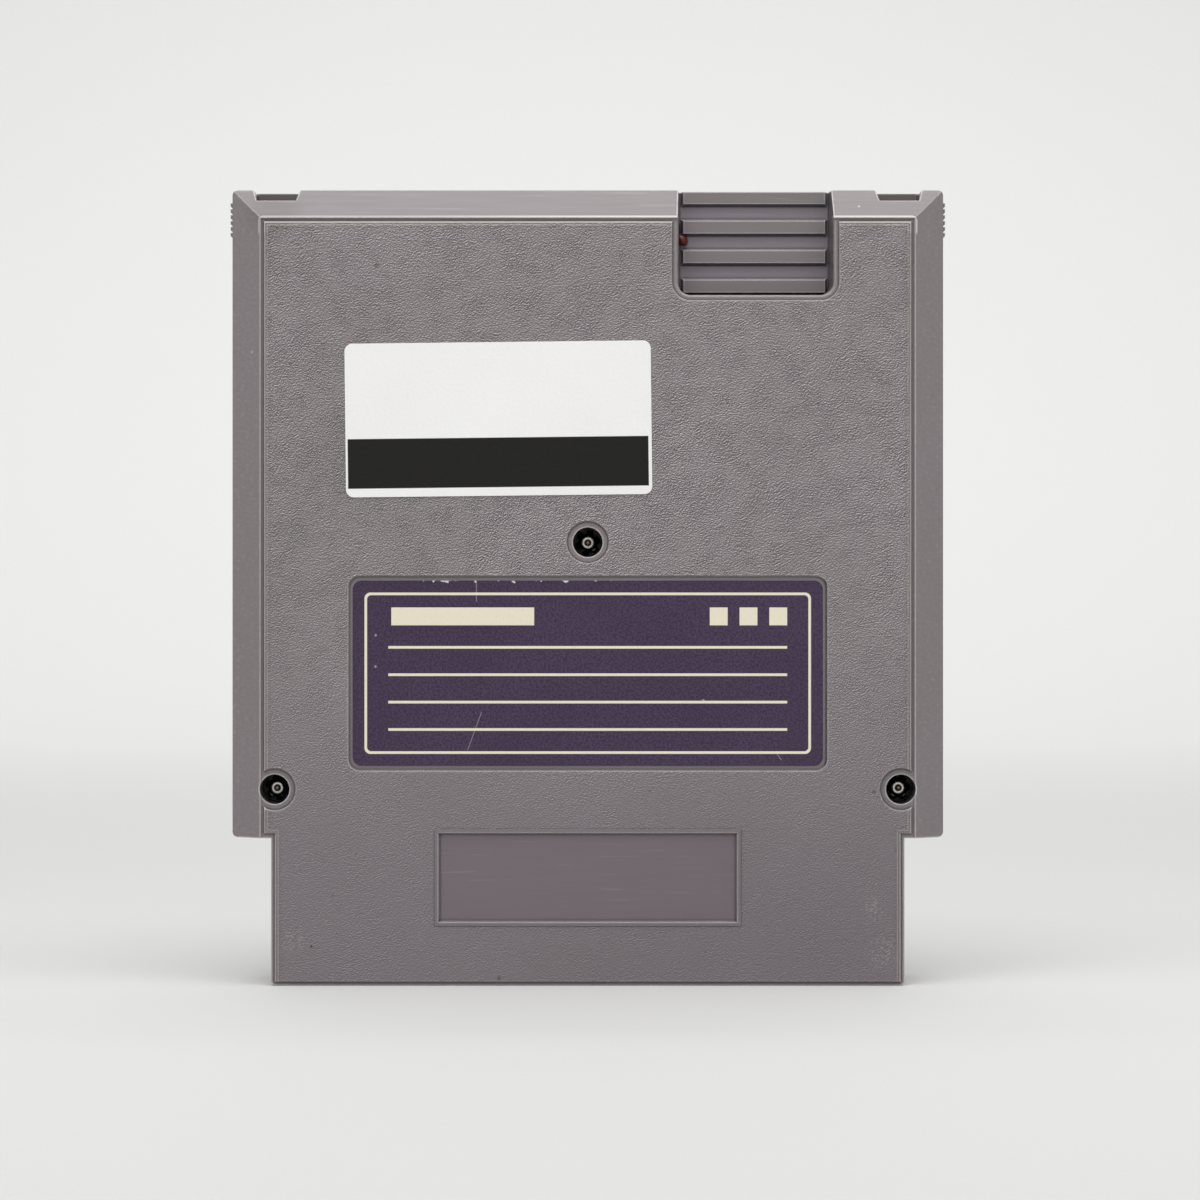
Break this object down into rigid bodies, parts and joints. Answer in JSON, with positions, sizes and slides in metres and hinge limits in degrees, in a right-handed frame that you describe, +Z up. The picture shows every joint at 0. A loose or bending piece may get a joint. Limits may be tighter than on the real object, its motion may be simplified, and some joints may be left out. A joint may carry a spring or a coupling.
{
  "type": "game cartridge",
  "caption": "Upright game cartridge: two screwed plastic shell halves round a circuit board with an edge connector, ribbed finger grip, purple back label and white sticker.",
  "frame": {"origin": "centre of the box on the plane it stands on: middle of the width, middle of the thickness, at the connector end's lower edge", "axes": "+Z up from the connector end to the grip end; +X to the right as the back panel is looked at; -Y is the way the back panel faces, +Y the way the front face does"},
  "size_m": [0.1208, 0.017, 0.134],
  "materials": {
    "shell_plastic": "grey moulded plastic with a fine grain",
    "screw_steel": "plated steel",
    "label_paper": "dark purple printed paper, scuffed along its upper edge",
    "sticker_paper": "white paper with a black band",
    "board_laminate": "green coated laminate",
    "contact_gold": "gold plating",
    "chip_plastic": "black moulded epoxy",
    "lead_metal": "tinned metal",
    "can_sleeve": "dark shrink sleeve",
    "disc_ceramic": "tan dipped ceramic"
  },
  "bodies": {
    "root": {"back_shell": "shell_plastic", "front_shell": "shell_plastic", "screws": "screw_steel", "back_label": "label_paper", "paper_sticker": "sticker_paper", "circuit_board": "board_laminate", "contacts_back": "contact_gold", "contacts_front": "contact_gold", "program_rom": "chip_plastic", "program_rom_leads": "lead_metal", "graphics_rom": "chip_plastic", "graphics_rom_leads": "lead_metal", "lockout_chip": "chip_plastic", "lockout_chip_leads": "lead_metal", "electrolytic_capacitor": "can_sleeve", "electrolytic_leads": "lead_metal", "ceramic_capacitors": "disc_ceramic", "ceramic_leads": "lead_metal"}
  },
  "joints": []
}
